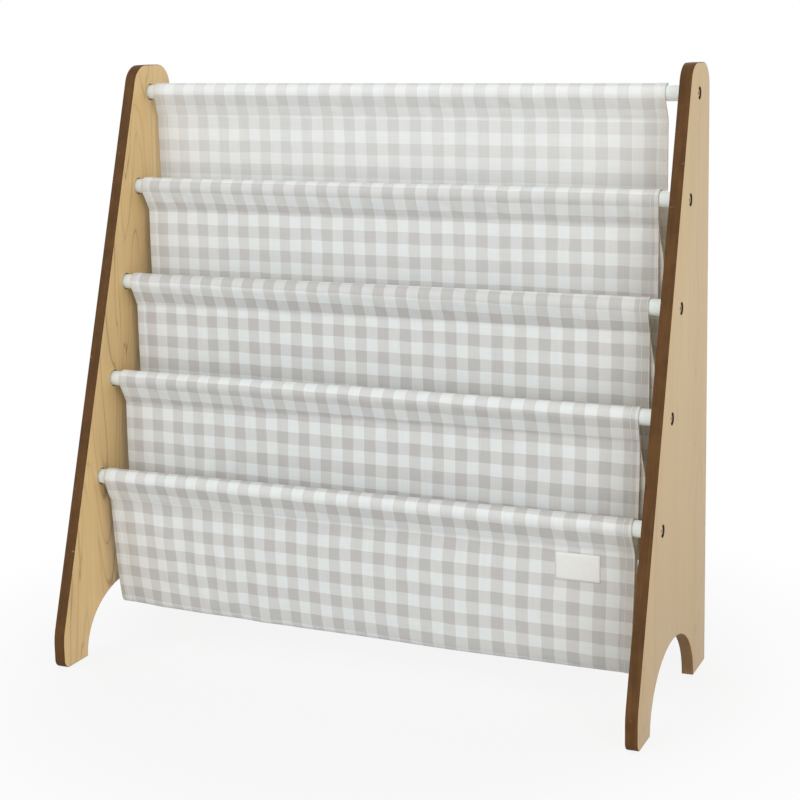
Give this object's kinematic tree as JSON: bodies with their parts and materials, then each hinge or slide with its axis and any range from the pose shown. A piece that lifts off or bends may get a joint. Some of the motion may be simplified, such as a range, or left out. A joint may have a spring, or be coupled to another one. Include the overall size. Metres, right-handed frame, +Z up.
{
  "type": "sling bookshelf",
  "caption": "Low sling bookshelf for a child's room: two wooden side panels joined by white rods that carry hanging gingham cloth pockets for books shown cover out.",
  "frame": {"origin": "on the floor, at the middle of the footprint of the two side panels", "axes": "+Z up, +X to the right seen from the front along the rods, the front with the lowest pocket faces -Y"},
  "size_m": [0.62, 0.25, 0.61],
  "materials": {
    "laminated_board": "satin laminate with maple grain on the faces, dark walnut edges",
    "white_rod": "glossy white lacquer on steel tube",
    "zinc_steel": "zinc plated",
    "gingham_cotton": "plain-woven cotton in a white and light taupe gingham",
    "label_ribbon": "woven cream ribbon, left bare"
  },
  "bodies": {
    "root": {"left_side_panel": "laminated_board", "right_side_panel": "laminated_board", "rod_1": "white_rod", "rod_2": "white_rod", "rod_3": "white_rod", "rod_4": "white_rod", "rod_5": "white_rod", "sleeve_1": "gingham_cotton", "sleeve_2": "gingham_cotton", "sleeve_3": "gingham_cotton", "sleeve_4": "gingham_cotton", "sleeve_5": "gingham_cotton", "left_insert_1": "zinc_steel", "left_insert_2": "zinc_steel", "left_insert_3": "zinc_steel", "left_insert_4": "zinc_steel", "left_insert_5": "zinc_steel", "right_insert_1": "zinc_steel", "right_insert_2": "zinc_steel", "right_insert_3": "zinc_steel", "right_insert_4": "zinc_steel", "right_insert_5": "zinc_steel", "left_bolt_1": "zinc_steel", "left_bolt_2": "zinc_steel", "left_bolt_3": "zinc_steel", "left_bolt_4": "zinc_steel", "left_bolt_5": "zinc_steel", "right_bolt_1": "zinc_steel", "right_bolt_2": "zinc_steel", "right_bolt_3": "zinc_steel", "right_bolt_4": "zinc_steel", "right_bolt_5": "zinc_steel", "pocket_1": "gingham_cotton", "pocket_2": "gingham_cotton", "pocket_3": "gingham_cotton", "pocket_4": "gingham_cotton", "sewn_label": "label_ribbon"}
  },
  "joints": []
}
